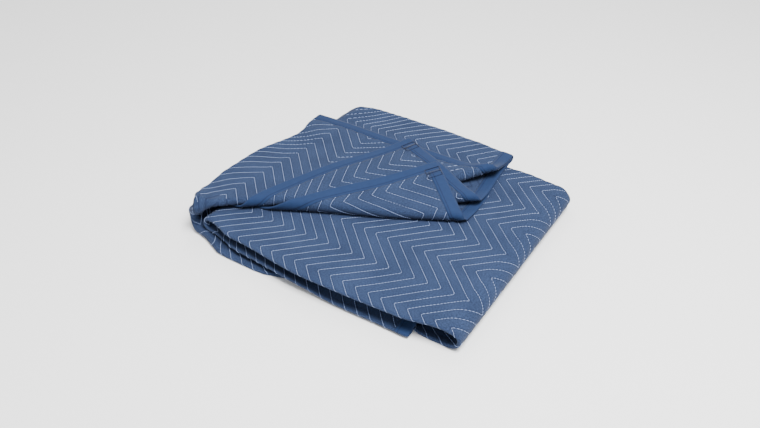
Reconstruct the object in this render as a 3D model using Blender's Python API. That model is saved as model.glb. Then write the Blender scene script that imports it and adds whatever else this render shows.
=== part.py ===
"""A quilted moving blanket, folded in four both ways and laid flat, with the free corner of its top turned back.

X runs along the front, Y to the back and Z up, in metres, with the origin under the middle of the folded blanket.

The cloth is one sheet. Across the blanket it is folded in four: from a bound edge at the front it runs to the
back, turns, comes to the front as the outer layer, turns again, and goes to the back and forward once more to
its other bound edge. That four-layer strip is then rolled flat: a top flap, round the left end, a bottom pass,
round the right end, the broad panel that shows, round the left end inside, and a tucked end.
"""

import math

import bpy
import numpy as np

# The cloth
CLOTH = 0.0028  # two faces with a thin batting, quilted together
PITCH = 0.0037  # from one layer to the next, cloth and air
BINDING = 0.024  # the tape that binds every edge
SEAM = 0.0003  # between the tape and the quilted cloth

# The middle of the folded blanket, measured from its left front corner
MIDDLE = (0.2305, 0.2325)

# The rolled strip, by the places where its centre line turns
LEFT_OUTER = -0.018
LEFT_INNER = -0.006
RIGHT = 0.484
RIGHT_REACH = 0.024  # how far the right end bulges past its turn
FLAP_END = 0.396
TUCKED_END = 0.433

# Heights of the centre line, in layers above the floor
FLAP_LEVEL, BOTTOM_LEVEL, PANEL_LEVEL, TUCKED_LEVEL = 14.0, 2.0, 10.0, 6.0

# Where each layer of the strip lies about its centre line, in layers, outwards
INNER_BOUND, OUTER_BOUND, THIRD, OUTER = -1.5, -0.5, 0.5, 1.5
PAIR = 0.5 * (THIRD + OUTER)

# The bound edges stay behind the front fold
INNER_BOUND_FRONT = 0.070
OUTER_BOUND_FRONT = 0.046

# Front fold and back fold along the cloth: place in it, front, back. The places run from the flap's end (0) over
# the left end (2 to 3), the bottom pass, the right end (5 to 6), the panel and the inner left end (8 to 9).
EDGES = (
    (0.0, -0.015, 0.468),
    (1.0, -0.028, 0.484),
    (1.5, -0.034, 0.490),
    (1.85, -0.006, 0.489),
    (2.0, 0.022, 0.482),
    (2.5, 0.022, 0.458),
    (3.0, 0.006, 0.448),
    (3.3, -0.018, 0.452),
    (3.6, -0.020, 0.455),
    (3.9, -0.004, 0.455),
    (4.2, 0.017, 0.453),
    (4.6, 0.018, 0.452),
    (4.88, -0.004, 0.450),
    (5.5, -0.006, 0.436),
    (6.0, -0.010, 0.440),
    (6.3, -0.020, 0.448),
    (7.0, -0.025, 0.450),
    (7.7, -0.008, 0.452),
    (8.0, 0.010, 0.450),
    (9.0, 0.010, 0.448),
    (9.4, -0.010, 0.450),
    (10.0, -0.020, 0.450),
    (11.0, -0.021, 0.448),
)

# The left end lies further in towards the back
LEFT_INSET, INSET_REACH = 0.040, 0.16  # how far, and up to which place along the front it is felt
INSET_START, INSET_RUN = 0.040, 0.43

# The front of the tucked pass droops over the bottom pass towards its free end
DROOP = 3.0  # layers
DROOP_BACK, DROOP_RUN = 0.020, 0.036  # where it starts from the front corner's line, and over what depth
DROOP_START, DROOP_FULL = 0.17, 0.30  # along the front

UNEVEN = 0.02  # how much the height swells and sinks from place to place, as a share of the height

# How the corner of the flap is turned back: each bound layer has a roll, and so has the folded pair above them.
# A roll starts on the corner's common line, then keeps to a line of its own.
CORNER_START, CORNER_SLOPE = 0.0345, 0.90
ROLLS = {
    # layer, line start, line slope, radius left and at the end, height left and at the end, rise, twist
    "inner": (INNER_BOUND, 0.060, 0.460, 3.5, 1.8, 20.0, 24.3, 0.12, 0.0),
    "outer": (OUTER_BOUND, 0.058, 0.613, 2.5, 1.7, 18.8, 21.1, 0.10, 0.0),
    "pair": (PAIR, CORNER_START, CORNER_SLOPE, 1.0, 1.4, 17.0, 17.8, 0.10, 4.5),
}
FIRST_RISE = 0.02  # length of the rise beside the left end
FIRST_ROLL, FIRST_ROLL_RUN = 0.7, 0.018  # the pair's roll starts wider by this many layers, over this run

# The sheet's grid: its spans, and its stations along the flap, closer where the rolls begin
FOLD_SPANS = 5
TIGHT_SPANS = 3
ROLL_SPANS = 5
PAIR_SPANS = 4
LEFT_SPANS = 8
RIGHT_SPANS = 7
INNER_SPANS = 6
TAPE_SPANS = 4
LEAST_ROW = 0.0065
FLAP_STATIONS = (
    (0.345, 0.298, 0.247, 0.200, 0.160, 0.128, 0.104, 0.085, 0.069, 0.055)
    + (0.043, 0.032, 0.022, 0.014, 0.007, 0.002, -0.002, -0.005, -0.008, -0.011, -0.0145)
)


def clear_scene():
    for obj in list(bpy.data.objects):
        bpy.data.objects.remove(obj, do_unlink=True)


def new_collection(name):
    collection = bpy.data.collections.new(name)
    bpy.context.scene.collection.children.link(collection)
    return collection


def fabric(name, colour, roughness):
    material = bpy.data.materials.new(name)
    material.use_nodes = True
    shader = material.node_tree.nodes["Principled BSDF"]
    shader.inputs["Base Color"].default_value = (*colour, 1.0)
    shader.inputs["Roughness"].default_value = roughness
    shader.inputs["Metallic"].default_value = 0.0
    material.diffuse_color = (*colour, 1.0)
    return material


def blend(low, high, share):
    return low + (high - low) * share


def eased(share):
    share = np.clip(share, 0.0, 1.0)
    return share * share * (3.0 - 2.0 * share)


def lesser(first, second, softness=0.012):
    """The smaller of two arrays, with the corner between them rounded."""
    return 0.5 * (first + second - np.sqrt((first - second) ** 2 + softness**2))


def level_pass(x, level, outwards, first, last):
    """Stations along a level pass: x, z, normal, and places from first to last."""
    x = np.array(x)
    run = (x - x[0]) / (x[-1] - x[0])
    height = np.full_like(x, level * PITCH)
    return np.column_stack([x, height, np.zeros_like(x), np.full_like(x, outwards), blend(first, last, run)])


def bend(centre, level, half_height, reach, side, rising, spans, first):
    """Stations round one end, half an ellipse to the left or the right, its two ends left to the passes."""
    share = np.linspace(0.0, 1.0, spans + 1)[1:-1]
    angle = math.pi * (1.0 - share if rising else share)
    height = half_height * PITCH
    normal = np.column_stack([side * np.sin(angle) / reach, np.cos(angle) / height])
    normal /= np.linalg.norm(normal, axis=1)[:, None]
    x = centre + side * reach * np.sin(angle)
    z = level * PITCH + height * np.cos(angle)
    return np.column_stack([x, z, normal, first + share])


def along(start, end, spans):
    return tuple(np.linspace(start, end, spans + 1))


def cloth_stations():
    """The strip's centre line, from the flap's end to the tucked end."""
    flap = (FLAP_END, FLAP_END - 0.5 * BINDING, FLAP_END - BINDING, *FLAP_STATIONS, LEFT_OUTER)
    bottom = along(LEFT_OUTER, RIGHT, 7)
    panel = along(RIGHT, LEFT_INNER, 8)
    tucked = (*along(LEFT_INNER, TUCKED_END - BINDING, 5), TUCKED_END - 0.5 * BINDING, TUCKED_END)
    return np.vstack([
        level_pass(flap, FLAP_LEVEL, 1.0, 0.0, 2.0),
        bend(LEFT_OUTER, 8.0, 6.0, 6.0 * PITCH, -1, False, LEFT_SPANS, 2.0),
        level_pass(bottom, BOTTOM_LEVEL, -1.0, 3.0, 5.0),
        bend(RIGHT, 6.0, 4.0, RIGHT_REACH, 1, True, RIGHT_SPANS, 5.0),
        level_pass(panel, PANEL_LEVEL, 1.0, 6.0, 8.0),
        bend(LEFT_INNER, 8.0, 2.0, 2.0 * PITCH, -1, False, INNER_SPANS, 8.0),
        level_pass(tucked, TUCKED_LEVEL, -1.0, 9.0, 11.0),
    ])


def edge_lines(place):
    """Front and back of the fold at each place, eased from one row of EDGES to the next."""
    at, front, back = np.array(EDGES).T
    index = np.clip(np.searchsorted(at, place, side="right") - 1, 0, len(at) - 2)
    share = eased((place - at[index]) / (at[index + 1] - at[index]))
    return blend(front[index], front[index + 1], share), blend(back[index], back[index + 1], share)


def roll_lines(name, x):
    """Fold line, its angle, roll radius and height of the turned part for one roll, at places x along the flap."""
    _, start, slope, radius, end_radius, height, end_height, _, _ = ROLLS[name]
    share = np.clip((x - LEFT_OUTER) / (FLAP_END - LEFT_OUTER), 0.0, 1.0)

    def line_at(at):
        near = CORNER_START + CORNER_SLOPE * at
        return near if name == "pair" else lesser(near, start + slope * at)

    step = 1e-4
    line = line_at(x)
    angle = np.arctan((line_at(x + step) - line) / step)
    radius_here = blend(radius, end_radius, share**2)
    if name == "pair":
        radius_here = radius_here + FIRST_ROLL * np.exp(-(x - LEFT_OUTER) / FIRST_ROLL_RUN)
    return line, angle, PITCH * radius_here, PITCH * blend(height, end_height, share), share


def turned_back(name, x, y, outwards):
    """Where a point of the flat flap lies once its corner is rolled over the fold line."""
    layer, *_, rise, twist = ROLLS[name]
    line, angle, radius, height, share = roll_lines(name, x)
    level = (FLAP_LEVEL + layer) * PITCH
    lift = outwards - layer * PITCH
    past = line - y
    roll_past = math.pi * radius / np.cos(angle)
    theta = np.clip(past * np.cos(angle) / radius, 0.0, math.pi)
    slide = -np.clip(past, 0.0, roll_past) * np.sin(angle)
    across = -(radius - lift) * np.sin(theta)
    flat = np.clip(past - roll_past, 0.0, None)
    heading = 2.0 * angle + 0.5 * math.pi + math.radians(twist)
    ramp = np.sin(0.5 * math.pi * np.clip(flat * np.cos(angle) / blend(FIRST_RISE, rise, share), 0.0, 1.0))
    turned = np.stack([
        x + slide * np.cos(angle) - across * np.sin(angle) + flat * np.cos(heading),
        line + slide * np.sin(angle) + across * np.cos(angle) + flat * np.sin(heading),
        level + radius * (1.0 - np.cos(theta)) + lift * np.cos(theta) + ramp * (height - level - 2.0 * radius),
    ])
    still = np.stack([x, y, np.full_like(x, FLAP_LEVEL * PITCH + outwards)])
    return np.where(past > 0.0, turned, still)


def layer_rows(front, axis, roll_past, back, roll_spans):
    """Rows of one layer, front to back: the part that is turned back, its roll, and the part that lies flat."""
    rows = [blend(front, axis - roll_past, k / 2) for k in range(2)]
    rows += [blend(axis - roll_past, axis, k / roll_spans) for k in range(roll_spans + 1)]
    rows = [np.maximum(row, front + k * LEAST_ROW) for k, row in enumerate(rows)]
    return rows + [blend(rows[-1], back, k / 2) for k in (1, 2)]


def half_turn(centre, layer, radius, side, spans):
    """Rows round a fold between two layers: half a circle, from the lower layer to the upper."""
    angle = math.pi * np.arange(1, spans) / spans
    depth = side * radius * PITCH * np.sin(angle)
    height = (layer - radius * np.cos(angle)) * PITCH
    return [(centre + d, h, "pair") for d, h in zip(depth, height)]


def quilted_rows(stations):
    """Every row of the quilted cloth from one binding to the other: y at each station, height, and its roll."""
    x = np.where(stations[:, 4] <= 2.0, stations[:, 0], LEFT_OUTER)
    front, back = edge_lines(stations[:, 4])
    fold_front = front + 0.5 * PITCH
    fold_back = back - 1.5 * PITCH
    inside_back = back - 1.8 * PITCH

    def rows_of(name, edge, rear, spans):
        line, angle, radius, _, _ = roll_lines(name, x)
        return layer_rows(edge, line, math.pi * radius / np.cos(angle), rear, spans)

    inner = rows_of("inner", INNER_BOUND_FRONT + BINDING, fold_back, ROLL_SPANS)
    outer = rows_of("outer", OUTER_BOUND_FRONT + BINDING, inside_back, ROLL_SPANS)
    upper = rows_of("pair", fold_front, fold_back, PAIR_SPANS)
    third = rows_of("pair", fold_front, inside_back, PAIR_SPANS)
    return (
        [(y, INNER_BOUND * PITCH, "inner") for y in inner]
        + half_turn(fold_back, 0.0, OUTER, 1, FOLD_SPANS)
        + [(y, OUTER * PITCH, "pair") for y in reversed(upper)]
        + half_turn(fold_front, PAIR, 0.5, -1, TIGHT_SPANS)[::-1]
        + [(y, THIRD * PITCH, "pair") for y in third]
        + half_turn(inside_back, 0.0, THIRD, 1, TIGHT_SPANS)[::-1]
        + [(y, OUTER_BOUND * PITCH, "outer") for y in reversed(outer)]
    )


def tape_rows(stations, name, edge):
    """Rows across the binding of one bound edge, up to its seam."""
    layer = ROLLS[name][0] * PITCH
    level = np.full(len(stations), edge)
    return [(level + BINDING * k / TAPE_SPANS, layer, name) for k in range(TAPE_SPANS)]


def settled(x, y, z, place):
    """The strip as it lies: its tucked front drooped, its underside on the floor, its height a little uneven."""
    droop = eased((DROOP_BACK - y) / DROOP_RUN) * eased((x - DROOP_START) / (DROOP_FULL - DROOP_START))
    z = z - np.where(place >= 9.0, DROOP * PITCH * droop, 0.0)
    z = z - 0.5 * (PITCH - CLOTH)
    above = z - 0.5 * CLOTH
    z = z + UNEVEN * above * np.sin(9.0 * x + 1.0) * np.cos(6.0 * y)
    return np.stack([x - MIDDLE[0], y - MIDDLE[1], z], axis=-1)


def inset(x, y):
    """How far a point is drawn in from the left: in step with its depth, so that all layers keep together."""
    depth = np.clip((y - INSET_START) / INSET_RUN, 0.0, None)
    return LEFT_INSET * depth * eased((INSET_REACH - x) / (INSET_REACH - LEFT_OUTER))


def sheet_points(stations, rows):
    """The sheet's points: each row carried along the stations, with the flap's corner turned back."""
    centre_x, z, normal_x, normal_z, place = stations.T
    lines = []
    for y, outwards, roll in rows:
        x = centre_x + inset(centre_x, y)
        rolled = np.stack([x + outwards * normal_x, y, z + outwards * normal_z])
        point = np.where(place <= 2.0, turned_back(roll, x, y, outwards), rolled)
        lines.append(settled(*point, place))
    return np.stack(lines)


def unit(vectors):
    return vectors / np.linalg.norm(vectors, axis=-1, keepdims=True)


def grid_faces(rows, columns):
    index = np.arange(rows * columns).reshape(rows, columns)
    return np.stack([index[:-1, :-1], index[:-1, 1:], index[1:, 1:], index[1:, :-1]], axis=-1).reshape(-1, 4)


def sheet_normals(points):
    """The normals of the whole sheet, so that its pieces meet squarely at their seams."""
    mesh = bpy.data.meshes.new("whole sheet")
    mesh.from_pydata(points.reshape(-1, 3).tolist(), [], grid_faces(*points.shape[:2]).tolist())
    normals = np.empty(points.size, np.float32)
    mesh.vertex_normals.foreach_get("vector", normals)
    bpy.data.meshes.remove(mesh)
    return normals.reshape(points.shape)


def drawn_in(points, line, beside):
    """The grid with one line drawn in towards the one beside it, so that it stops short of the next piece."""
    points = points.copy()
    points[line] += SEAM * unit(points[beside] - points[line])
    return points


def sheet_object(name, points, normals, material, collection):
    """A closed sheet: the grid of points offset both ways along its normals, and joined round the rim."""
    rows, columns = points.shape[:2]
    count = rows * columns
    index = np.arange(count).reshape(rows, columns)
    upper = grid_faces(rows, columns)
    # Each face starts at its lowest point, so that facing faces of two pieces split along the same diagonal
    lower = upper[:, [0, 3, 2, 1]] + count
    sides = []
    for line, outward in ((index[0], -1), (index[-1], 1), (index[:, 0], 1), (index[:, -1], -1)):
        one, other = (line[1:], line[:-1] + count)[::outward]
        sides.append(np.stack([line[:-1], one, line[1:] + count, other], axis=-1))
    offset = 0.5 * CLOTH * normals
    both = np.concatenate([(points + offset).reshape(-1, 3), (points - offset).reshape(-1, 3)])
    mesh = bpy.data.meshes.new(name)
    mesh.from_pydata(both.tolist(), [], np.concatenate([upper, lower, *sides]).tolist())
    mesh.materials.append(material)
    mesh.shade_smooth()
    obj = bpy.data.objects.new(name, mesh)
    collection.objects.link(obj)
    return obj


def main():
    clear_scene()
    parts = new_collection("Moving blanket")
    quilted = fabric("Quilted denim blue cloth", (0.10, 0.16, 0.32), 0.9)
    tape = fabric("Blue binding tape", (0.07, 0.14, 0.30), 0.8)

    stations = cloth_stations()
    rows = tape_rows(stations, "inner", INNER_BOUND_FRONT)
    rows += quilted_rows(stations)
    rows += tape_rows(stations, "outer", OUTER_BOUND_FRONT)[::-1]
    points = sheet_points(stations, rows)
    normals = sheet_normals(points)

    # Every piece is a part of this one sheet: the cloth inside the tapes, two long tapes and two short ones
    edge, end = TAPE_SPANS, 2
    inside = (slice(edge, -edge), slice(end, -end))
    sheet_object("quilted_cloth", points[inside], normals[inside], quilted, parts)
    for name, side, line, beside in (("inner", slice(edge + 1), -1, -2), ("outer", slice(-edge - 1, None), 0, 1)):
        long_tape = drawn_in(points[side], line, beside)
        sheet_object(f"{name}_edge_binding", long_tape, normals[side], tape, parts)
    for name, side, line, beside in (("flap", slice(end + 1), -1, -2), ("tucked", slice(-end - 1, None), 0, 1)):
        short_tape = drawn_in(points[edge:-edge, side].swapaxes(0, 1), line, beside).swapaxes(0, 1)
        sheet_object(f"{name}_end_binding", short_tape, normals[edge:-edge, side], tape, parts)


main()
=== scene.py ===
"""The looks of a quilted moving blanket, folded in four both ways, the free corner of its top turned back.

The cloth is one sheet, worked out as a grid: a four-layer section, carried along a strip that is rolled flat.
It repeats the folds of the solids with a finer grid, and adds what is sewn: chevron quilting that puffs between
its lines, the threads, and the bound edges. Metres, +Z up, +X along the front, +Y to the back.
"""

import math

import bpy
import numpy as np
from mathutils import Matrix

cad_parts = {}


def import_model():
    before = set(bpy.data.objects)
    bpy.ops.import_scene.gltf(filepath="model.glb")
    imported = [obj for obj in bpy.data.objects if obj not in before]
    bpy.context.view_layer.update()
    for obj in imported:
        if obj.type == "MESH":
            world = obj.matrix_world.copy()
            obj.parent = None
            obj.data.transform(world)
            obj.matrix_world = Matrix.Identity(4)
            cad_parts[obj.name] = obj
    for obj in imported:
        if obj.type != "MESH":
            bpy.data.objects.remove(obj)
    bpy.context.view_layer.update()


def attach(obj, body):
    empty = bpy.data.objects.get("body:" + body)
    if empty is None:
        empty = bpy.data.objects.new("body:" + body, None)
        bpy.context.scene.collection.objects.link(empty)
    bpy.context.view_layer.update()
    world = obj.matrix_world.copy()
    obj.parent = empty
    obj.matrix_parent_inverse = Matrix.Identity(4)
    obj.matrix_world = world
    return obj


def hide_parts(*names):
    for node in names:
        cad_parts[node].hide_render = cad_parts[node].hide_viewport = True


# The cloth, as in the solids
PITCH = 0.0037  # from one layer to the next, cloth and air
CLOTH = 0.0028
BINDING = 0.024  # the tape that binds every edge
SEAM = 0.0003
MIDDLE = (0.2305, 0.2325)  # the middle of the folded blanket, measured from its left front corner

# The rolled strip
LEFT_OUTER, LEFT_INNER, RIGHT = -0.018, 0.006, 0.484
LEFT_REACH, INNER_REACH, RIGHT_REACH = 6.0 * PITCH, 2.0 * PITCH, 0.024  # how far each bend stands out
FLAP_END, TUCKED_END = 0.396, 0.433
FLAP_LEVEL, BOTTOM_LEVEL, PANEL_LEVEL, TUCKED_LEVEL = 14.0, 2.0, 10.0, 6.0  # in layers

# The four layers about the strip's centre line, in layers, outwards
INNER_BOUND, OUTER_BOUND, THIRD, OUTER = -1.5, -0.5, 0.5, 1.5
PAIR = 0.5 * (THIRD + OUTER)
INNER_BOUND_FRONT, OUTER_BOUND_FRONT = 0.082, 0.057
FOLD_RADIUS, INSIDE_BACK = 0.5, 1.8  # of the front fold, and of the inner back fold inside the outer one

# Front fold and back fold along the cloth: place in it, front, back. A place counts the passes and the bends
# from the flap's end: 0 to 2 is the flap, 2 to 3 its bend, and 11 is the tucked end.
EDGES = (
    (0.0, -0.043, 0.471),
    (0.10, -0.041, 0.473),
    (0.47, -0.022, 0.482),
    (0.97, -0.037, 0.489),
    (1.40, -0.031, 0.494),
    (1.77, -0.021, 0.494),
    (1.88, -0.013, 0.492),
    (2.0, 0.002, 0.484),
    (2.5, 0.014, 0.458),
    (3.0, 0.006, 0.448),
    (3.3, -0.018, 0.452),
    (3.6, -0.020, 0.455),
    (3.9, -0.004, 0.455),
    (4.2, 0.017, 0.453),
    (4.6, 0.018, 0.452),
    (4.88, -0.004, 0.450),
    (5.5, -0.006, 0.436),
    (6.0, -0.010, 0.440),
    (6.3, -0.020, 0.448),
    (7.0, -0.025, 0.450),
    (7.7, -0.008, 0.452),
    (8.0, 0.010, 0.450),
    (9.0, 0.010, 0.448),
    (9.4, -0.010, 0.450),
    (10.0, -0.020, 0.450),
    (11.0, -0.021, 0.448),
)

# The left end is drawn in towards the back, by so much, and the shift fades out over a reach to the right
LEFT_INSET, INSET_REACH = 0.040, 0.16
INSET_START, INSET_RUN = 0.040, 0.43
# Round the left end the front fold is a soft loop: its two layers part by so many layers, over this depth, and
# between two places, each with the run over which it opens or closes
LOOP_OUT, LOOP_IN, LOOP_DEPTH = 0.3, 2.4, 0.018
LOOP_OPENS, LOOP_CLOSES = (1.72, 0.2), (3.0, 0.5)
# The tucked end's front droops by so many layers, towards the front and towards the right
DROOP, DROOP_BACK, DROOP_RUN = 3.0, 0.020, 0.036
DROOP_START, DROOP_FULL = 0.17, 0.30
# The uneven height of the stack: its share, and the radians a metre along x and y
UNEVEN, UNEVEN_X, UNEVEN_Y, UNEVEN_START = 0.02, 9.0, 6.0, 1.0
# Slack between the layers: share of the height, radians a metre along x and y, and start
SLACK_WAVES = ((0.016, 31.0, 17.0, 0.0), (0.012, 23.0, -41.0, 2.0))
# The back right corner of the flap lies further left: by how much, above what level, and from where
SKEW, SKEW_LEVEL, SKEW_RISE = 0.017, 0.0430, 0.0015
SKEW_X, SKEW_Y, SKEW_RUN = 0.20, 0.27, 0.19

# The rolls that turn the corner back
CORNER_START, CORNER_SLOPE = 0.0345, 0.90
ROLLS = {
    # layer, line start, line slope, radius left and at the end, height left and at the end, rise, twist
    "inner": (INNER_BOUND, 0.060, 0.460, 3.5, 1.8, 20.0, 22.6, 0.12, -2.0),
    "outer": (OUTER_BOUND, 0.058, 0.613, 2.5, 1.7, 18.8, 20.5, 0.10, 0.0),
    "pair": (PAIR, CORNER_START, CORNER_SLOPE, 1.0, 1.4, 17.0, 17.8, 0.10, 4.5),
}
# Beside the left end the turned layers rise over a short length, and the pair's roll is rounder
FIRST_RISE, FIRST_ROLL, FIRST_ROLL_RUN = 0.02, 0.7, 0.018
# At the flap's end the rolls stand open in loops: how many layers each is lifted, and over what widths
LOOP_LIFT = {"inner": 1.0, "outer": 2.8, "pair": 4.4}
LOOP_START, LOOP_RUN, LOOP_WIDTH = 0.315, 0.08, 0.040

# The quilting: stitch lines 25 mm apart along the strip, in zigzags of 73 mm half-waves across it
QUILT_PITCH, QUILT_HALF, QUILT_START = 0.025, 0.073, 0.0085
PUFF_THICK, PUFF_THIN, PUFF_POWER = 0.0034, 0.0012, 0.7
LOWEST = 0.002  # of the middle of the cloth, so that its puffs and its tapes rest on the floor
# Flat length along the strip, by place in it
FLAT_ALONG = (
    (0.0, 0.0),
    (2.0, 0.414),
    (3.0, 0.4837),
    (5.0, 0.9784),
    (6.0, 1.0410),
    (8.0, 1.5410),
    (9.0, 1.5643),
    (11.0, 2.0033),
)
# Flat length across: what y is added to or taken from on each layer, and how the panel's outer layer differs
INNER_FLAT, OUTER_FLAT, THIRD_FLAT, BOUND_FLAT = -0.121, 0.857, 0.919, 1.868
PANEL_FLAT, PANEL_SHIFT, PANEL_PLACE = 0.876, 0.002, 3.5
PANEL_SHRINK = 73.0 / 67.5  # the panel's zigzags lie a little closer
FRONT_TURN, BACK_TURN = 0.006, 0.017  # flat lengths round a narrow fold and a wide one
# Where the lengths of two layers are brought together, at the front fold and at the back folds
MEET_FRONT, MEET_BACK, MEET_BACK_RUN = 0.06, 0.20, 0.20

# The grid along the strip: spans in each pass, each bend and each bound end
FLAP_SPANS, FLAP_LEFT, FLAP_LEFT_SPANS = 86, 0.030, 19
BOTTOM_SPANS, PANEL_SPANS, TUCKED_SPANS, END_SPANS = 24, 136, 20, 6
LEFT_BEND_SPANS, RIGHT_BEND_SPANS, INNER_BEND_SPANS = 14, 22, 8

# The grid across it: rows in the four layers, inner bound, outer, third and outer bound, and how close together
# they lie before a roll, in it and behind it
FLAP_ROWS, PANEL_ROWS, END_ROWS = (54, 108, 100, 68), (22, 140, 34, 22), (30, 60, 60, 40)
EVEN = (1.0, 1.0, 1.0)
FLAP_CLOSENESS = ((1.0, 2.2, 0.25), (0.25, 2.2, 1.0), (1.0, 2.2, 0.25), (1.0, 2.2, 0.25))
PANEL_CLOSENESS = (EVEN, EVEN, (8.0, 8.0, 1.0), EVEN)
END_CLOSENESS = (EVEN, EVEN, EVEN, EVEN)
BACK_FOLD_SPANS, FRONT_FOLD_SPANS, INNER_FOLD_SPANS = 10, 9, 5
PANEL_SEWN = slice(31, 196)  # its rows from the back fold to a little way under the front fold

# Where the cloth is divided into two pieces: a place in the bottom pass that nothing shows
DIVIDE = 4.4

# The binding tape: its two seams, from its outer edge, its rows across, and its thickness
SEAM_LINES = (0.0186, 0.0212)
TAPE_PLACES = (0.0, 0.0004, 0.0012, 0.0026, 0.005, 0.009, 0.013, 0.0165, 0.0178, 0.0186, 0.0194, 0.0204,
               0.0212, 0.022, 0.0232, BINDING - SEAM)
TAPE_EDGE, TAPE_FULL, TAPE_ROUND = 0.0010, 0.0036, 0.0026
SEAM_DIP, SEAM_WIDTH = 0.0012, 0.0008
PUCKER_HEIGHT, PUCKER_WIDTH, PUCKER_PITCH = 0.0003, 0.005, 0.014

# Threads: radius at the middle and at the end of a stitch, and how far out of the cloth these lie, in radii
THREAD, TACK_THREAD = (0.0005, 0.0002), (0.0008, 0.0005)
STITCH_RAISED, STITCH_SUNK = 0.9, -0.5

# The tacks on the turned corner: a box along the edge and in from it
TACK_X, TACK_Y = (0.366, 0.393), (0.018, 0.040)
TACK_HEIGHT, TACK_STEP = 0.0019, 0.0014

SMALL_STEP = 1e-4  # for slopes

# The camera: where it stands, how far it looks down and round, and its lens
CAMERA_AT = (0.6267, -1.0041, 0.855)
CAMERA_TILT, CAMERA_TURN = 54.3, 32.3
SENSOR = 36.0
LENS = 785.0 / 760.0 * SENSOR

# The lights: where each hangs, its side and its power
KEY_LIGHT, FILL_LIGHT = ((0.9, -0.5, 2.2), 1.0, 150.0), ((-1.2, 1.4, 2.2), 1.6, 20.0)
SKY_STRENGTH = 0.95
FLOOR_HALF = 6.0


def blend(low, high, share):
    return low + (high - low) * share


def eased(share):
    share = np.clip(share, 0.0, 1.0)
    return share * share * (3.0 - 2.0 * share)


def lesser(first, second, softness=0.012):
    """The smaller of two arrays, with the corner between them rounded."""
    return 0.5 * (first + second - np.sqrt((first - second) ** 2 + softness**2))


def unit(vectors):
    return vectors / np.maximum(np.linalg.norm(vectors, axis=-1, keepdims=True), 1e-12)


# The strip's centre line


def level_pass(x, level, outwards, first, last):
    """Stations along a level pass: x, z, normal, and places from first to last."""
    x = np.array(x)
    run = (x - x[0]) / (x[-1] - x[0])
    height = np.full_like(x, level * PITCH)
    return np.column_stack([x, height, np.zeros_like(x), np.full_like(x, outwards), blend(first, last, run)])


def bend(centre, lower, upper, reach, side, spans, first):
    """Stations round one end, half an ellipse between two levels, its two ends left to the passes. At the left
    they run down, and at the right up.
    """
    share = np.linspace(0.0, 1.0, spans + 1)[1:-1]
    angle = math.pi * (1.0 - share if side > 0 else share)
    height = 0.5 * (upper - lower) * PITCH
    normal = unit(np.column_stack([side * np.sin(angle) / reach, np.cos(angle) / height]))
    x = centre + side * reach * np.sin(angle)
    z = 0.5 * (upper + lower) * PITCH + height * np.cos(angle)
    return np.column_stack([x, z, normal, first + share])


def along(start, end, spans):
    return tuple(np.linspace(start, end, spans + 1))


def strip_stations():
    """The strip's centre line from the flap's end to the tucked end, close together where the cloth shows."""
    flap_tape, tucked_tape = FLAP_END - BINDING, TUCKED_END - BINDING
    flap = along(FLAP_END, flap_tape, END_SPANS)
    flap += along(flap_tape, FLAP_LEFT, FLAP_SPANS)[1:]
    flap += along(FLAP_LEFT, LEFT_OUTER, FLAP_LEFT_SPANS)[1:]
    bottom = along(LEFT_OUTER, RIGHT, BOTTOM_SPANS)
    panel = along(RIGHT, LEFT_INNER, PANEL_SPANS)
    tucked = along(LEFT_INNER, tucked_tape, TUCKED_SPANS) + along(tucked_tape, TUCKED_END, END_SPANS)[1:]
    return np.vstack([
        level_pass(flap, FLAP_LEVEL, 1.0, 0.0, 2.0),
        bend(LEFT_OUTER, BOTTOM_LEVEL, FLAP_LEVEL, LEFT_REACH, -1, LEFT_BEND_SPANS, 2.0),
        level_pass(bottom, BOTTOM_LEVEL, -1.0, 3.0, 5.0),
        bend(RIGHT, BOTTOM_LEVEL, PANEL_LEVEL, RIGHT_REACH, 1, RIGHT_BEND_SPANS, 5.0),
        level_pass(panel, PANEL_LEVEL, 1.0, 6.0, 8.0),
        bend(LEFT_INNER, TUCKED_LEVEL, PANEL_LEVEL, INNER_REACH, -1, INNER_BEND_SPANS, 8.0),
        level_pass(tucked, TUCKED_LEVEL, -1.0, 9.0, 11.0),
    ])


def edge_lines(place):
    """Front and back of the fold at each place, eased from one row of EDGES to the next."""
    at, front, back = np.array(EDGES).T
    index = np.clip(np.searchsorted(at, place, side="right") - 1, 0, len(at) - 2)
    share = eased((place - at[index]) / (at[index + 1] - at[index]))
    return blend(front[index], front[index + 1], share), blend(back[index], back[index + 1], share)


# The turned corner


def roll_lines(name, x):
    """One roll at places x along the flap: its fold line, the line's angle, its radius, the height of the turned
    part, and the share of the way to the flap's end.
    """
    _, start, slope, radius, end_radius, height, end_height, _, _ = ROLLS[name]
    share = np.clip((x - LEFT_OUTER) / (FLAP_END - LEFT_OUTER), 0.0, 1.0)

    def line_at(at):
        near = CORNER_START + CORNER_SLOPE * at
        return near if name == "pair" else lesser(near, start + slope * at)

    line = line_at(x)
    angle = np.arctan((line_at(x + SMALL_STEP) - line) / SMALL_STEP)
    radius_here = blend(radius, end_radius, share**2)
    if name == "pair":
        radius_here = radius_here + FIRST_ROLL * np.exp(-(x - LEFT_OUTER) / FIRST_ROLL_RUN)
    return line, angle, PITCH * radius_here, PITCH * blend(height, end_height, share), share


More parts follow.
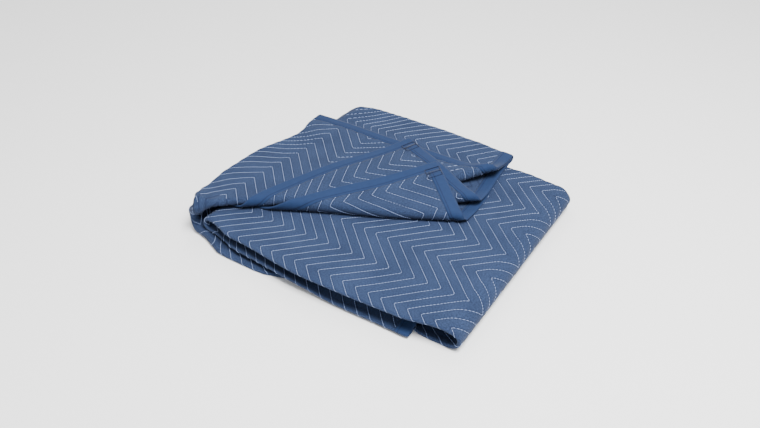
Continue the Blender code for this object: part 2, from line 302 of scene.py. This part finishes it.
def turned_back(name, x, y, outwards):
    """Where a point of the flat flap lies once its corner is rolled over the fold line. The length past the line
    goes round half a circle, then straight on in the mirrored direction, rising or sinking to its height.
    """
    layer, *_, rise, twist = ROLLS[name]
    line, angle, radius, height, share = roll_lines(name, x)
    level = (FLAP_LEVEL + layer) * PITCH
    lift = outwards - layer * PITCH
    past = line - y
    roll_past = math.pi * radius / np.cos(angle)
    theta = np.clip(past * np.cos(angle) / radius, 0.0, math.pi)
    slide = -np.clip(past, 0.0, roll_past) * np.sin(angle)
    across = -(radius - lift) * np.sin(theta)
    flat = np.clip(past - roll_past, 0.0, None)
    heading = 2.0 * angle + 0.5 * math.pi + math.radians(twist)
    ramp = np.sin(0.5 * math.pi * np.clip(flat * np.cos(angle) / blend(FIRST_RISE, rise, share), 0.0, 1.0))
    climb = height - level - 2.0 * radius
    turned = np.stack([
        x + slide * np.cos(angle) - across * np.sin(angle) + flat * np.cos(heading),
        line + slide * np.sin(angle) + across * np.cos(angle) + flat * np.sin(heading),
        level + radius * (1.0 - np.cos(theta)) + lift * np.cos(theta) + ramp * climb,
    ])
    still = np.stack([x, y, FLAP_LEVEL * PITCH + outwards + np.zeros_like(x)])
    point = np.where(past > 0.0, turned, still)
    beside = (past - 0.5 * roll_past) / LOOP_WIDTH
    point[2] += LOOP_LIFT[name] * PITCH * eased((x - LOOP_START) / LOOP_RUN) * np.exp(-(beside**2))
    return point


# Rows across the section: y at each station, height in it, the roll they belong to, and flat length across


def spaced(front, line, roll_past, back, closeness, count):
    """Rows from front to back, as close as is given for before the roll, in it and behind it."""
    axis = np.clip(line, front, back)
    knots = np.stack([front, np.clip(axis - roll_past, front, back), axis, back])
    weights = np.diff(knots, axis=0) * np.array(closeness)[:, None]
    marks = np.concatenate([np.zeros_like(front)[None], np.cumsum(weights, axis=0)])
    share = np.linspace(0.0, 1.0, count)
    columns = [np.interp(share * mark[-1], mark, knot) for mark, knot in zip(marks.T, knots.T)]
    return np.stack(columns, axis=1)


def flat_across(place, front, back):
    """Flat length across the blanket on each layer, as functions of y: the zigzags' corners lie at its multiples
    of QUILT_HALF. The two outer layers run on through the front fold, and the bound ones meet them at the back.
    """
    panel = eased(place - PANEL_PLACE)

    def outer(y):
        return blend(OUTER_FLAT - y, PANEL_FLAT - (y + PANEL_SHIFT) * PANEL_SHRINK, panel)

    front_gap = outer(front) + FRONT_TURN - (THIRD_FLAT + front)

    def third(y):
        return THIRD_FLAT + y + front_gap * (1.0 - eased((y - front) / MEET_FRONT))

    inner_gap = outer(back) - BACK_TURN - (back + INNER_FLAT)
    bound_gap = third(back) + FRONT_TURN - (BOUND_FLAT - back)

    def inner(y):
        return y + INNER_FLAT + inner_gap * eased((y - MEET_BACK) / MEET_BACK_RUN)

    def bound(y):
        return BOUND_FLAT - y + bound_gap * eased((y - MEET_BACK) / MEET_BACK_RUN)

    return inner, outer, third, bound


def section_rows(stations, counts, closeness):
    """Every row of the quilted cloth from one binding to the other."""
    place = stations[:, 4]
    x = np.where(place <= 2.0, stations[:, 0], LEFT_OUTER)
    front, back = edge_lines(place)
    opened, closed = (eased((place - at) / run) for at, run in (LOOP_OPENS, LOOP_CLOSES))
    parted = opened * (1.0 - closed)
    fold_radius = FOLD_RADIUS + 0.5 * (LOOP_OUT + LOOP_IN) * parted
    fold_front = front + fold_radius * PITCH
    fold_back = back - OUTER * PITCH
    inside_back = back - INSIDE_BACK * PITCH
    flats = flat_across(place, front, back)
    loops = ((INNER_BOUND, 0.0), (OUTER, LOOP_OUT), (THIRD, -LOOP_IN), (OUTER_BOUND, 0.0))

    def layer(which, name, edge, rear):
        line, angle, radius, _, _ = roll_lines(name, x)
        edge = np.broadcast_to(edge, x.shape)
        rows = spaced(edge, line, math.pi * radius / np.cos(angle), rear, closeness[which], counts[which])
        level, loop = loops[which]

        def height(y):
            return (level + loop * parted * np.exp(-(((y - fold_front) / LOOP_DEPTH) ** 2))) * PITCH

        return [(y, height(y), name, flats[which](y)) for y in rows]

    def fold(centre, level, radius, side, spans, start, end):
        angle = math.pi * np.arange(1, spans) / spans
        return [
            (centre + side * radius * PITCH * math.sin(a), (level - radius * math.cos(a)) * PITCH, "pair",
             blend(start, end, a / math.pi))
            for a in angle
        ]

    inner = layer(0, "inner", INNER_BOUND_FRONT + BINDING, fold_back)
    upper = layer(1, "pair", fold_front, fold_back)[::-1]
    third = layer(2, "pair", fold_front, inside_back)
    bound = layer(3, "outer", OUTER_BOUND_FRONT + BINDING, inside_back)[::-1]
    back_fold = fold(fold_back, 0.0, OUTER, 1, BACK_FOLD_SPANS, inner[-1][3], upper[0][3])
    fold_level = PAIR + 0.5 * (LOOP_OUT - LOOP_IN) * parted
    front_fold = fold(fold_front, fold_level, fold_radius, -1, FRONT_FOLD_SPANS, third[0][3], upper[-1][3])
    inner_fold = fold(inside_back, 0.0, THIRD, 1, INNER_FOLD_SPANS, bound[0][3], third[-1][3])
    return inner + back_fold + upper + front_fold[::-1] + third + inner_fold[::-1] + bound


def tape_rows(stations, name, edge, places_across):
    """Rows across a long binding, with the distance from its outer edge in place of a flat length."""
    layer = ROLLS[name][0] * PITCH
    level = np.full(len(stations), edge)
    return [(level + across, layer, name, np.full(len(stations), across)) for across in places_across]


# From rows and stations to points


def inset(x, y):
    """How far a point is drawn in from the left: in step with its depth, so that all layers keep together."""
    depth = np.clip((y - INSET_START) / INSET_RUN, 0.0, None)
    return LEFT_INSET * depth * eased((INSET_REACH - x) / (INSET_REACH - LEFT_OUTER))


def settled(x, y, z, place):
    """The strip as it lies: tucked front drooped, underside on the floor, height a little uneven."""
    droop = eased((DROOP_BACK - y) / DROOP_RUN) * eased((x - DROOP_START) / (DROOP_FULL - DROOP_START))
    z = z - np.where(place >= 9.0, DROOP * PITCH * droop, 0.0)
    z = z - 0.5 * (PITCH - CLOTH)
    above = z - 0.5 * CLOTH
    on_top = eased((z - SKEW_LEVEL) / SKEW_RISE)
    x = x - SKEW * on_top * eased((x - SKEW_X) / SKEW_RUN) * eased((y - SKEW_Y) / SKEW_RUN)
    z = z + UNEVEN * above * np.sin(UNEVEN_X * x + UNEVEN_START) * np.cos(UNEVEN_Y * y)
    # Slack between the layers lets the upper ones swell and sink a little more
    z = z + above * sum(share * np.sin(along_x * x + along_y * y + start)
                        for share, along_x, along_y, start in SLACK_WAVES)
    z = np.maximum(z, LOWEST)
    return np.stack([x - MIDDLE[0], y - MIDDLE[1], z], axis=-1)


def sheet_points(stations, rows):
    """The sheet's points: each row carried along the stations, with the flap's corner turned back."""
    centre_x, z, normal_x, normal_z, place = stations.T
    lines = []
    for y, outwards, roll, _ in rows:
        x = centre_x + inset(centre_x, y)
        rolled = np.stack([x + outwards * normal_x, y, z + outwards * normal_z])
        point = np.where(place <= 2.0, turned_back(roll, x, y, outwards), rolled)
        lines.append(settled(*point, place))
    return np.stack(lines)


def sheet_flats(stations, rows):
    """Flat lengths along and across the blanket at every point of the sheet."""
    at, length = np.array(FLAT_ALONG).T
    along_strip = np.interp(stations[:, 4], at, length)
    across = np.stack([row[3] for row in rows])
    return np.stack([np.broadcast_to(along_strip, across.shape), across], axis=-1)


def tangents(points):
    """Directions along the first axis of a grid: at each point, from the one before to the one after."""
    ahead = np.concatenate([points[1:], points[-1:]])
    behind = np.concatenate([points[:1], points[:-1]])
    return unit(ahead - behind)


def sheet_normals(points):
    along_rows = tangents(points.swapaxes(0, 1)).swapaxes(0, 1)
    return unit(np.cross(along_rows, tangents(points)))


def quilt_line_distance(flats):
    """Distance to the nearest stitch line. A line is where the length along the strip plus a zigzag of the
    length across is a whole number of pitches, and it runs at 45 degrees.
    """
    wave = np.mod(flats[..., 1], 2.0 * QUILT_HALF)
    zigzag = QUILT_HALF - np.abs(wave - QUILT_HALF)
    phase = np.mod((flats[..., 0] + zigzag - QUILT_START) / QUILT_PITCH, 1.0)
    return np.minimum(phase, 1.0 - phase) * QUILT_PITCH * math.sqrt(0.5)


def quilt_thickness(flats):
    """The cloth's thickness: pinched at a stitch line, and puffed up between two of them."""
    share = quilt_line_distance(flats) / (0.5 * QUILT_PITCH * math.sqrt(0.5))
    return blend(PUFF_THIN, PUFF_THICK, np.sin(0.5 * math.pi * share) ** PUFF_POWER)


def grid_faces(rows, columns):
    index = np.arange(rows * columns).reshape(rows, columns)
    return np.stack([index[:-1, :-1], index[:-1, 1:], index[1:, 1:], index[1:, :-1]], axis=-1).reshape(-1, 4)


def closed_sheet(name, points, normals, flats, thickness, material):
    """A closed sheet: the grid offset both ways along its normals by half its thickness, joined round the rim.
    Its UV map holds the flat lengths, in metres.
    """
    rows, columns = points.shape[:2]
    count = rows * columns
    index = np.arange(count).reshape(rows, columns)
    upper = grid_faces(rows, columns)
    lower = upper[:, [0, 3, 2, 1]] + count
    sides = []
    for line, outward in ((index[0], -1), (index[-1], 1), (index[:, 0], 1), (index[:, -1], -1)):
        one, other = (line[1:], line[:-1] + count)[::outward]
        sides.append(np.stack([line[:-1], one, line[1:] + count, other], axis=-1))
    faces = np.concatenate([upper, lower, *sides])
    offset = 0.5 * thickness[..., None] * normals
    both = np.concatenate([(points + offset).reshape(-1, 3), (points - offset).reshape(-1, 3)])
    mesh = bpy.data.meshes.new(name)
    mesh.vertices.add(len(both))
    mesh.vertices.foreach_set("co", both.ravel())
    mesh.loops.add(faces.size)
    mesh.loops.foreach_set("vertex_index", faces.ravel())
    mesh.polygons.add(len(faces))
    mesh.polygons.foreach_set("loop_start", np.arange(0, faces.size, 4))
    mesh.update(calc_edges=True)
    flat = flats.reshape(-1, 2)
    uv = mesh.uv_layers.new(name="flat")
    uv.uv.foreach_set("vector", np.concatenate([flat, flat])[faces.ravel()].ravel())
    mesh.shade_smooth()
    mesh.materials.append(material)
    obj = bpy.data.objects.new(name, mesh)
    bpy.context.scene.collection.objects.link(obj)
    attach(obj, "root")
    return obj


# Materials


def linear(hexcode):
    """An sRGB colour such as "5A6E96" as linear RGBA."""
    values = np.array([int(hexcode[k : k + 2], 16) for k in (0, 2, 4)]) / 255.0
    values = np.where(values <= 0.04045, values / 12.92, ((values + 0.055) / 1.055) ** 2.4)
    return (*values.tolist(), 1.0)


def new_material(name, roughness, sheen):
    material = bpy.data.materials.new(name)
    material.use_nodes = True
    shader = material.node_tree.nodes["Principled BSDF"]
    shader.inputs["Roughness"].default_value = roughness
    shader.inputs["Sheen Weight"].default_value = sheen
    shader.inputs["Sheen Roughness"].default_value = 0.5
    shader.inputs["Specular IOR Level"].default_value = 0.15
    return material, shader


def node(material, kind, settings=None, **inputs):
    """Adds a node. settings are its own, and inputs are its sockets by name, or by number as in _0: a value, or
    another node's socket to link. Gives back its first output.
    """
    made = material.node_tree.nodes.new(kind)
    for key, value in (settings or {}).items():
        setattr(made, key, value)
    for key, value in inputs.items():
        socket = made.inputs[int(key[1:]) if key[0] == "_" else key.replace("_", " ")]
        if isinstance(value, bpy.types.NodeSocket):
            material.node_tree.links.new(value, socket)
        else:
            socket.default_value = value
    return made.outputs[0]


def quilted_cotton():
    """Woven cotton and polyester cloth in denim blue, quilted to a thin batting. It looks soft and matt,
    heathered by uneven yarns, and darker in the dips along its stitch lines, where the light doesn't reach.
    """
    material, shader = new_material("Quilted denim blue cloth", 0.92, 0.04)
    uv = node(material, "ShaderNodeUVMap", {"uv_map": "flat"})
    place = node(material, "ShaderNodeSeparateXYZ", None, Vector=uv).node

    def maths(operation, *values):
        sockets = {f"_{number}": value for number, value in enumerate(values)}
        return node(material, "ShaderNodeMath", {"operation": operation}, **sockets)

    # The distance to the nearest stitch line in millimetres, as quilt_line_distance has it in metres
    zigzag = maths("PINGPONG", place.outputs["Y"], QUILT_HALF)
    ahead = maths("SUBTRACT", maths("ADD", place.outputs["X"], zigzag), QUILT_START)
    phase = maths("FRACT", maths("DIVIDE", ahead, QUILT_PITCH))
    beside = maths("MULTIPLY", maths("PINGPONG", phase, 0.5), QUILT_PITCH * 1000.0 * math.sqrt(0.5))
    dip = node(material, "ShaderNodeMapRange", {"interpolation_type": "SMOOTHSTEP"},
               Value=beside, From_Min=0.3, From_Max=3.5, To_Min=0.5, To_Max=0.0)
    millimetres = node(material, "ShaderNodeVectorMath", {"operation": "SCALE"}, _0=uv, Scale=1000.0)
    # The dye varies in clouds of some 60 mm
    clouds = node(material, "ShaderNodeTexNoise", None, Vector=millimetres, Scale=1.0 / 60.0, Detail=4.0)
    dye = node(material, "ShaderNodeMapRange", None, Value=clouds, From_Min=0.3, From_Max=0.7)
    # Uneven yarns, 0.6 mm thick in the real cloth, are drawn some 2 mm thick so that they still show
    yarn = node(material, "ShaderNodeTexNoise", None, Vector=millimetres, Scale=0.5, Detail=2.0)
    grain = node(material, "ShaderNodeMapRange", None,
                 Value=yarn, From_Min=0.3, From_Max=0.7, To_Min=0.5, To_Max=1.55)
    body = colour_mix(material, dye, linear("202C45"), linear("27344F"))
    toned = node(material, "ShaderNodeVectorMath", {"operation": "SCALE"}, _0=body, Scale=grain)
    colour = colour_mix(material, dip, toned, linear("111930"))
    material.node_tree.links.new(colour, shader.inputs["Base Color"])
    bump = node(material, "ShaderNodeBump", None, Height=yarn, Strength=0.4, Distance=0.0008)
    material.node_tree.links.new(bump, shader.inputs["Normal"])
    return material


def colour_mix(material, factor, one, other):
    """A mix of two colours. The mix node has sockets for every data type, and 6 and 7 are the colours."""
    return node(material, "ShaderNodeMix", {"data_type": "RGBA"}, _0=factor, _6=one, _7=other).node.outputs[2]


def binding_tape():
    """Plain woven polyester tape, smoother than the cloth and a clearer blue, ribbed across by its weft. It is
    sewn down by two seams near its inner side, where the tape is pulled into grooves; the shade in these grooves
    is painted into its colour as two dark lines.
    """
    material, shader = new_material("Woven binding tape", 0.8, 0.05)
    uv = node(material, "ShaderNodeUVMap", {"uv_map": "flat"})
    place = node(material, "ShaderNodeSeparateXYZ", None, Vector=uv).node
    from_edge = place.outputs["Y"]
    near = node(material, "ShaderNodeMath", {"operation": "SUBTRACT"}, _0=from_edge, _1=SEAM_LINES[0])
    gap = SEAM_LINES[1] - SEAM_LINES[0]
    beside = node(material, "ShaderNodeMath", {"operation": "PINGPONG"}, _0=near, _1=gap)
    # The two seams and 0.9 mm on either side, where painted shade darkens the seam grooves
    pulled = node(material, "ShaderNodeMath", {"operation": "COMPARE"},
                  _0=near, _1=0.5 * gap, _2=0.5 * gap + 0.0009)
    line = node(material, "ShaderNodeMapRange", {"interpolation_type": "SMOOTHSTEP"},
                Value=beside, From_Min=0.0002, From_Max=0.001, To_Min=0.85, To_Max=0.0)
    seam = node(material, "ShaderNodeMath", {"operation": "MULTIPLY"}, _0=line, _1=pulled)
    millimetres = node(material, "ShaderNodeVectorMath", {"operation": "SCALE"}, _0=uv, Scale=1000.0)
    wear = node(material, "ShaderNodeTexNoise", None, Vector=millimetres, Scale=0.12, Detail=4.0)
    tone = colour_mix(material, wear, linear("162645"), linear("1C2F51"))
    # Painted shade: the tone is darkened towards 0C1530 along the two seam grooves
    colour = colour_mix(material, seam, tone, linear("0C1530"))
    material.node_tree.links.new(colour, shader.inputs["Base Color"])
    # The ribs are 1.2 mm apart
    ribs = node(material, "ShaderNodeTexWave", {"bands_direction": "X"}, Vector=millimetres, Scale=0.26)
    bump = node(material, "ShaderNodeBump", None, Height=ribs, Strength=0.15, Distance=0.0004)
    material.node_tree.links.new(bump, shader.inputs["Normal"])
    return material


def cotton_thread(name, colour):
    """Twisted cotton thread, matt and paler than the cloth it holds, or dark where it tacks down the tape."""
    material, shader = new_material(name, 0.85, 0.1)
    shader.inputs["Base Color"].default_value = linear(colour)
    return material


def pale_floor():
    material, shader = new_material("Matt white board", 0.9, 0.0)
    shader.inputs["Base Color"].default_value = linear("F4F4F4")
    return material


# The pieces


def tape_thickness(along, across):
    """A tape folded over the cloth's edge: round there, full in the middle, pinched and puckered at its seams."""
    edge = np.sqrt(np.clip(1.0 - (1.0 - across / TAPE_ROUND) ** 2, 0.0, 1.0))
    edge = np.where(across < TAPE_ROUND, edge, 1.0)
    seam = sum(np.exp(-(((across - line) / SEAM_WIDTH) ** 2)) for line in SEAM_LINES)
    waves = np.sin(2.0 * math.pi * along / PUCKER_PITCH)
    puckers = np.exp(-(((across - SEAM_LINES[0]) / PUCKER_WIDTH) ** 2)) * waves
    return blend(TAPE_EDGE, TAPE_FULL, edge) - SEAM_DIP * seam + PUCKER_HEIGHT * puckers


# The stitches


def thread_object(name, paths, radii, material):
    """Threads as closed four-sided tubes. A path holds its centre line and the surface's normals. The radii are
    those in the middle of a stitch and at its end, where it dives into the cloth, and the points alternate.
    """
    points, faces, start = [], [], 0
    for line, up in paths:
        count = len(line)
        forward = unit(np.gradient(line, axis=0))
        side = unit(np.cross(forward, up))
        raised = np.arange(count) % 2 == 1
        radius = np.where(raised, radii[0], radii[1])[:, None]
        centre = line + up * np.where(raised, STITCH_RAISED, STITCH_SUNK)[:, None] * radii[0]
        centre[:, 2] = np.maximum(centre[:, 2], radii[0])
        across, out = radius * side, radius * up
        ring = np.stack([centre + across, centre + out, centre - across, centre - out], axis=1)
        index = start + np.arange(4 * count).reshape(count, 4)
        turned = np.roll(index, -1, axis=1)
        faces.append(np.stack([index[:-1], turned[:-1], turned[1:], index[1:]], axis=-1).reshape(-1, 4))
        faces.append(np.stack([index[0, ::-1], index[-1]]))
        points.append(ring.reshape(-1, 3))
        start += 4 * count
    mesh = bpy.data.meshes.new(name)
    mesh.from_pydata(np.concatenate(points).tolist(), [], np.concatenate(faces).tolist())
    mesh.shade_smooth()
    mesh.materials.append(material)
    obj = bpy.data.objects.new(name, mesh)
    bpy.context.scene.collection.objects.link(obj)
    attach(obj, "root")
    return obj


def between(values, column):
    """Rows of a grid, each read at a fractional column."""
    low = np.clip(column.astype(int), 0, values.shape[1] - 2)
    share = (column - low)[:, None]
    row = np.arange(len(values))
    return blend(values[row, low], values[row, low + 1], share)


def quilt_paths(points, normals, flats, thickness, side):
    """The stitch lines on one side of a piece of the sheet. Each is followed from row to row, one stitch a row,
    by finding where in the row its length along the strip plus the zigzag comes to its whole number.
    """
    wave = np.mod(flats[..., 1], 2.0 * QUILT_HALF)
    ahead = (flats[..., 0] + QUILT_HALF - np.abs(wave - QUILT_HALF) - QUILT_START) / QUILT_PITCH
    surface = points + 0.5 * side * thickness[..., None] * normals
    columns = np.arange(points.shape[1])
    paths = []
    for number in range(int(np.ceil(ahead.min())), int(np.floor(ahead.max())) + 1):
        column = np.array([np.interp(number, row, columns, left=-1.0, right=-1.0) for row in ahead])
        for run in np.split(np.arange(len(column)), np.flatnonzero(np.diff(column < 0.0)) + 1):
            if len(run) < 3 or column[run[0]] < 0.0:
                continue
            line = between(surface[run], column[run])
            up = side * between(normals[run], column[run])
            middles = np.stack([0.5 * (line[:-1] + line[1:]), 0.5 * (up[:-1] + up[1:])])
            both = np.empty((2, 2 * len(run) - 1, 3))
            both[:, ::2] = line, up
            both[:, 1::2] = middles
            paths.append((both[0], unit(both[1])))
    return paths


def flap_surface(name, x, y):
    """Points above a bound layer's turned side, and its normals there, from places on the flat flap."""
    outwards = ROLLS[name][0] * PITCH

    def at(x, y):
        point = turned_back(name, x + inset(x, y), y, np.full_like(x, outwards))
        return settled(*point, np.zeros_like(x))

    centre = at(x, y)
    normal = unit(np.cross(at(x, y + SMALL_STEP) - centre, at(x + SMALL_STEP, y) - centre))
    return centre + normal * TACK_HEIGHT, normal


def tack_paths(name, edge):
    """A box of stitches with a bar across it, where the end tape meets the long tape."""
    left, right = TACK_X
    low, high = edge + TACK_Y[0], edge + TACK_Y[1]
    middle = 0.5 * (low + high)
    runs = (((left, low), (right, low)), ((right, low), (right, high)), ((right, high), (left, high)),
            ((left, high), (left, low)), ((left, middle), (right, middle)))
    paths = []
    for start, end in runs:
        count = 2 * int(math.dist(start, end) / (2.0 * TACK_STEP)) + 1
        x, y = np.linspace(start, end, count).T
        paths.append(flap_surface(name, x, y))
    return paths


def cloth_piece(name, stations, counts, closeness, sewn, cloth, thread):
    """One piece of the quilted cloth, with the stitches on those of its rows and sides that are sewn."""
    rows = section_rows(stations, counts, closeness)
    points = sheet_points(stations, rows)
    flats = sheet_flats(stations, rows)
    normals = sheet_normals(points)
    thickness = quilt_thickness(flats)
    piece = closed_sheet(name, points, normals, flats, thickness, cloth)
    for number, (part, side) in enumerate(sewn):
        paths = quilt_paths(points[part], normals[part], flats[part], thickness[part], side)
        stitches = thread_object(f"{name}_stitches_{number}", paths, THREAD, thread)
    return piece


def long_tape(name, stations, roll, edge, tape):
    """A binding on one of the long edges, along the whole strip."""
    rows = tape_rows(stations, roll, edge, TAPE_PLACES)
    points, flats = sheet_points(stations, rows), sheet_flats(stations, rows)
    normals = sheet_normals(points)
    if roll == "outer":
        points, flats, normals = points[::-1], flats[::-1], normals[::-1]
    return closed_sheet(name, points, normals, flats, tape_thickness(flats[..., 0], flats[..., 1]), tape)


def end_tape(name, stations, edge_column, tape):
    """A binding on one of the short ends, across the whole section between the long ones."""
    rows = section_rows(stations, END_ROWS, END_CLOSENESS)
    points, flats = sheet_points(stations, rows), sheet_flats(stations, rows)
    across = np.abs(flats[..., 0] - flats[:, [edge_column], 0])
    flats = np.stack([flats[..., 1], across], axis=-1)
    thickness = tape_thickness(flats[..., 0], across)
    return closed_sheet(name, points, sheet_normals(points), flats, thickness, tape)


def build_blanket():
    stations = strip_stations()
    cloth = quilted_cotton()
    tape = binding_tape()
    pale_thread = cotton_thread("Pale cotton thread", "8C9FCA")
    dark_thread = cotton_thread("Dark cotton thread", "0E1730")

    # The cloth ends at its two end tapes
    first, last = END_SPANS, len(stations) - 1 - END_SPANS
    divide = int(np.searchsorted(stations[:, 4], DIVIDE))
    outer_bound = -FLAP_ROWS[3]
    flap_sewn = ((slice(0, outer_bound), 1), (slice(outer_bound, None), -1))
    panel_sewn = ((PANEL_SEWN, 1),)
    flap = cloth_piece("quilted_cloth_flap", stations[first : divide + 1], FLAP_ROWS, FLAP_CLOSENESS,
                       flap_sewn, cloth, pale_thread)
    panel = cloth_piece("quilted_cloth_panel", stations[divide : last + 1], PANEL_ROWS, PANEL_CLOSENESS,
                        panel_sewn, cloth, pale_thread)

    tapes = [
        long_tape("inner_edge_tape", stations, "inner", INNER_BOUND_FRONT, tape),
        long_tape("outer_edge_tape", stations, "outer", OUTER_BOUND_FRONT, tape),
        end_tape("flap_end_tape", stations[: first + 1], 0, tape),
        end_tape("tucked_end_tape", stations[last:], -1, tape),
    ]
    tacks = tack_paths("inner", INNER_BOUND_FRONT) + tack_paths("outer", OUTER_BOUND_FRONT)
    thread_object("corner_tacks", tacks, TACK_THREAD, dark_thread)

    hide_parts("quilted_cloth")
    solids = ("inner_edge_binding", "outer_edge_binding", "flap_end_binding", "tucked_end_binding")
    for piece, solid in zip(tapes, solids):
        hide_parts(solid)


def build_floor():
    mesh = bpy.data.meshes.new("floor")
    corners = [(-1, -1), (1, -1), (1, 1), (-1, 1)]
    mesh.from_pydata([(x * FLOOR_HALF, y * FLOOR_HALF, 0.0) for x, y in corners], [], [(0, 1, 2, 3)])
    mesh.materials.append(pale_floor())
    floor = bpy.data.objects.new("floor", mesh)
    bpy.context.scene.collection.objects.link(floor)


def light(name, at, size, power):
    """A square area light that faces the origin."""
    data = bpy.data.lights.new(name, "AREA")
    data.shape = "SQUARE"
    data.size = size
    data.energy = power
    lamp = bpy.data.objects.new(name, data)
    x, y, z = at
    lamp.location = at
    lamp.rotation_euler = (math.atan2(math.hypot(x, y), z), 0.0, math.atan2(-y, -x) - 0.5 * math.pi)
    bpy.context.scene.collection.objects.link(lamp)


def build_studio():
    world = bpy.data.worlds.new("studio")
    world.use_nodes = True
    background = world.node_tree.nodes["Background"]
    background.inputs["Color"].default_value = linear("FFFFFF")
    background.inputs["Strength"].default_value = SKY_STRENGTH
    bpy.context.scene.world = world
    light("key", *KEY_LIGHT)
    light("fill", *FILL_LIGHT)


def build_camera():
    data = bpy.data.cameras.new("camera")
    data.sensor_width = SENSOR
    data.lens = LENS
    camera = bpy.data.objects.new("camera", data)
    camera.location = CAMERA_AT
    camera.rotation_euler = (math.radians(CAMERA_TILT), 0.0, math.radians(CAMERA_TURN))
    bpy.context.scene.collection.objects.link(camera)
    bpy.context.scene.camera = camera


def main():
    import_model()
    build_blanket()
    build_floor()
    build_studio()
    build_camera()


main()
